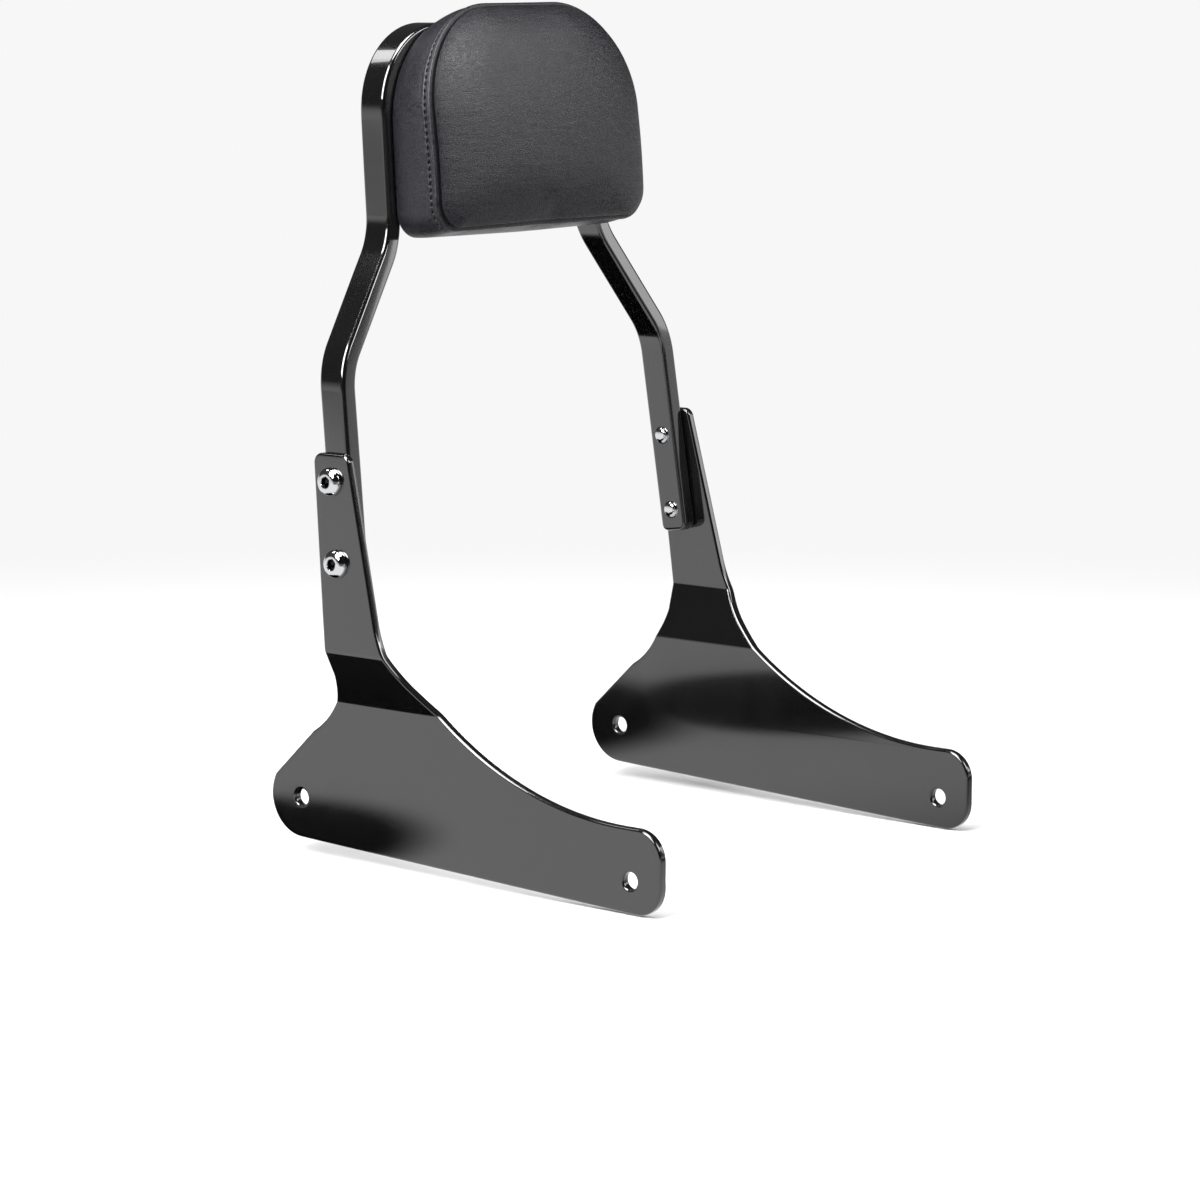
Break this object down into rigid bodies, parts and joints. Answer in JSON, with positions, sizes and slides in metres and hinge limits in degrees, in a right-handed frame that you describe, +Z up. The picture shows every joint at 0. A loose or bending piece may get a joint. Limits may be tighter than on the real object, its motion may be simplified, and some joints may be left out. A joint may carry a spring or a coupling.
{
  "type": "motorcycle sissy bar with backrest pad",
  "caption": "Bent flat-bar passenger backrest hoop with an upholstered pad, bolted between two jogged side plates that fasten to a motorcycle's fender struts.",
  "frame": {"origin": "middle of the line through the two front strut bolt holes", "axes": "+X across the machine, towards the rider's left; +Y to the rear; +Z up; the pad faces -Y"},
  "size_m": [0.3562, 0.3104, 0.5229],
  "materials": {
    "black_powder_coat": "gloss",
    "chrome_steel": "polished",
    "zinc_steel": "satin",
    "black_vinyl": "satin",
    "foam": "matte",
    "plywood": "matte"
  },
  "bodies": {
    "root": {"hoop_bar": "black_powder_coat", "cross_plate": "black_powder_coat", "side_plate_right": "black_powder_coat", "side_plate_left": "black_powder_coat", "pad_board": "plywood", "pad_foam": "foam", "pad_face": "black_vinyl", "pad_band": "black_vinyl", "leg_bolt_right_upper": "chrome_steel", "pad_screw_right_upper": "chrome_steel", "pad_washer_right_upper": "zinc_steel", "tee_nut_right_upper": "zinc_steel", "leg_bolt_right_lower": "chrome_steel", "pad_screw_right_lower": "chrome_steel", "pad_washer_right_lower": "zinc_steel", "tee_nut_right_lower": "zinc_steel", "leg_bolt_left_upper": "chrome_steel", "pad_screw_left_upper": "chrome_steel", "pad_washer_left_upper": "zinc_steel", "tee_nut_left_upper": "zinc_steel", "leg_bolt_left_lower": "chrome_steel", "pad_screw_left_lower": "chrome_steel", "pad_washer_left_lower": "zinc_steel", "tee_nut_left_lower": "zinc_steel"}
  },
  "joints": []
}
